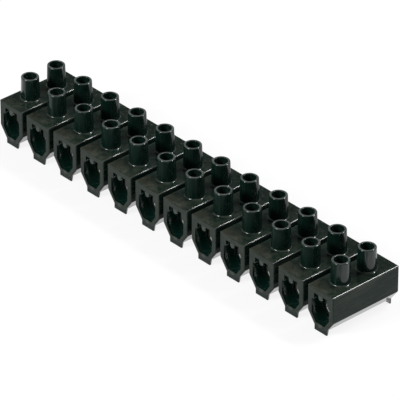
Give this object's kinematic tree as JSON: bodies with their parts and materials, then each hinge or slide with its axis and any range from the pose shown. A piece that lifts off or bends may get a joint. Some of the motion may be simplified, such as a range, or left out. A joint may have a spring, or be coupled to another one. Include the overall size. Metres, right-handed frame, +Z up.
{
  "type": "terminal strip",
  "caption": "Black moulded terminal strip: a row of joined blocks, each with two screw towers, wire entries at front and back, and a metal sleeve that clamps wires under slotted screws.",
  "frame": {"origin": "centre of the strip's footprint, on the surface that its lips stand on", "axes": "+X along the row, +Z up towards the towers' rims, the toothed wire entries face -Y"},
  "size_m": [0.1422, 0.025, 0.0209],
  "materials": {
    "black_plastic": "glossy moulded",
    "plated_brass": "nickel plated",
    "zinc_steel": "zinc plated"
  },
  "bodies": {
    "strip": {"block_01": "black_plastic", "block_02": "black_plastic", "block_03": "black_plastic", "block_04": "black_plastic", "block_05": "black_plastic", "block_06": "black_plastic", "block_07": "black_plastic", "block_08": "black_plastic", "block_09": "black_plastic", "block_10": "black_plastic", "block_11": "black_plastic", "block_12": "black_plastic", "web_01": "black_plastic", "web_02": "black_plastic", "web_03": "black_plastic", "web_04": "black_plastic", "web_05": "black_plastic", "web_06": "black_plastic", "web_07": "black_plastic", "web_08": "black_plastic", "web_09": "black_plastic", "web_10": "black_plastic", "web_11": "black_plastic", "terminal_01": "plated_brass", "terminal_02": "plated_brass", "terminal_03": "plated_brass", "terminal_04": "plated_brass", "terminal_05": "plated_brass", "terminal_06": "plated_brass", "terminal_07": "plated_brass", "terminal_08": "plated_brass", "terminal_09": "plated_brass", "terminal_10": "plated_brass", "terminal_11": "plated_brass", "terminal_12": "plated_brass"},
    "screw_01_front": {"screw_01_front": "zinc_steel"},
    "screw_01_back": {"screw_01_back": "zinc_steel"},
    "screw_02_front": {"screw_02_front": "zinc_steel"},
    "screw_02_back": {"screw_02_back": "zinc_steel"},
    "screw_03_front": {"screw_03_front": "zinc_steel"},
    "screw_03_back": {"screw_03_back": "zinc_steel"},
    "screw_04_front": {"screw_04_front": "zinc_steel"},
    "screw_04_back": {"screw_04_back": "zinc_steel"},
    "screw_05_front": {"screw_05_front": "zinc_steel"},
    "screw_05_back": {"screw_05_back": "zinc_steel"},
    "screw_06_front": {"screw_06_front": "zinc_steel"},
    "screw_06_back": {"screw_06_back": "zinc_steel"},
    "screw_07_front": {"screw_07_front": "zinc_steel"},
    "screw_07_back": {"screw_07_back": "zinc_steel"},
    "screw_08_front": {"screw_08_front": "zinc_steel"},
    "screw_08_back": {"screw_08_back": "zinc_steel"},
    "screw_09_front": {"screw_09_front": "zinc_steel"},
    "screw_09_back": {"screw_09_back": "zinc_steel"},
    "screw_10_front": {"screw_10_front": "zinc_steel"},
    "screw_10_back": {"screw_10_back": "zinc_steel"},
    "screw_11_front": {"screw_11_front": "zinc_steel"},
    "screw_11_back": {"screw_11_back": "zinc_steel"},
    "screw_12_front": {"screw_12_front": "zinc_steel"},
    "screw_12_back": {"screw_12_back": "zinc_steel"}
  },
  "joints": [
    {"name": "screw_01_front_travel", "type": "slide", "parent": "strip", "child": "screw_01_front", "axis": [0, 0, 1], "range_m": [-0.0035, 0.001]},
    {"name": "screw_01_back_travel", "type": "slide", "parent": "strip", "child": "screw_01_back", "axis": [0, 0, 1], "range_m": [-0.0035, 0.001]},
    {"name": "screw_02_front_travel", "type": "slide", "parent": "strip", "child": "screw_02_front", "axis": [0, 0, 1], "range_m": [-0.0035, 0.001]},
    {"name": "screw_02_back_travel", "type": "slide", "parent": "strip", "child": "screw_02_back", "axis": [0, 0, 1], "range_m": [-0.0035, 0.001]},
    {"name": "screw_03_front_travel", "type": "slide", "parent": "strip", "child": "screw_03_front", "axis": [0, 0, 1], "range_m": [-0.0035, 0.001]},
    {"name": "screw_03_back_travel", "type": "slide", "parent": "strip", "child": "screw_03_back", "axis": [0, 0, 1], "range_m": [-0.0035, 0.001]},
    {"name": "screw_04_front_travel", "type": "slide", "parent": "strip", "child": "screw_04_front", "axis": [0, 0, 1], "range_m": [-0.0035, 0.001]},
    {"name": "screw_04_back_travel", "type": "slide", "parent": "strip", "child": "screw_04_back", "axis": [0, 0, 1], "range_m": [-0.0035, 0.001]},
    {"name": "screw_05_front_travel", "type": "slide", "parent": "strip", "child": "screw_05_front", "axis": [0, 0, 1], "range_m": [-0.0035, 0.001]},
    {"name": "screw_05_back_travel", "type": "slide", "parent": "strip", "child": "screw_05_back", "axis": [0, 0, 1], "range_m": [-0.0035, 0.001]},
    {"name": "screw_06_front_travel", "type": "slide", "parent": "strip", "child": "screw_06_front", "axis": [0, 0, 1], "range_m": [-0.0035, 0.001]},
    {"name": "screw_06_back_travel", "type": "slide", "parent": "strip", "child": "screw_06_back", "axis": [0, 0, 1], "range_m": [-0.0035, 0.001]},
    {"name": "screw_07_front_travel", "type": "slide", "parent": "strip", "child": "screw_07_front", "axis": [0, 0, 1], "range_m": [-0.0035, 0.001]},
    {"name": "screw_07_back_travel", "type": "slide", "parent": "strip", "child": "screw_07_back", "axis": [0, 0, 1], "range_m": [-0.0035, 0.001]},
    {"name": "screw_08_front_travel", "type": "slide", "parent": "strip", "child": "screw_08_front", "axis": [0, 0, 1], "range_m": [-0.0035, 0.001]},
    {"name": "screw_08_back_travel", "type": "slide", "parent": "strip", "child": "screw_08_back", "axis": [0, 0, 1], "range_m": [-0.0035, 0.001]},
    {"name": "screw_09_front_travel", "type": "slide", "parent": "strip", "child": "screw_09_front", "axis": [0, 0, 1], "range_m": [-0.0035, 0.001]},
    {"name": "screw_09_back_travel", "type": "slide", "parent": "strip", "child": "screw_09_back", "axis": [0, 0, 1], "range_m": [-0.0035, 0.001]},
    {"name": "screw_10_front_travel", "type": "slide", "parent": "strip", "child": "screw_10_front", "axis": [0, 0, 1], "range_m": [-0.0035, 0.001]},
    {"name": "screw_10_back_travel", "type": "slide", "parent": "strip", "child": "screw_10_back", "axis": [0, 0, 1], "range_m": [-0.0035, 0.001]},
    {"name": "screw_11_front_travel", "type": "slide", "parent": "strip", "child": "screw_11_front", "axis": [0, 0, 1], "range_m": [-0.0035, 0.001]},
    {"name": "screw_11_back_travel", "type": "slide", "parent": "strip", "child": "screw_11_back", "axis": [0, 0, 1], "range_m": [-0.0035, 0.001]},
    {"name": "screw_12_front_travel", "type": "slide", "parent": "strip", "child": "screw_12_front", "axis": [0, 0, 1], "range_m": [-0.0035, 0.001]},
    {"name": "screw_12_back_travel", "type": "slide", "parent": "strip", "child": "screw_12_back", "axis": [0, 0, 1], "range_m": [-0.0035, 0.001]}
  ]
}
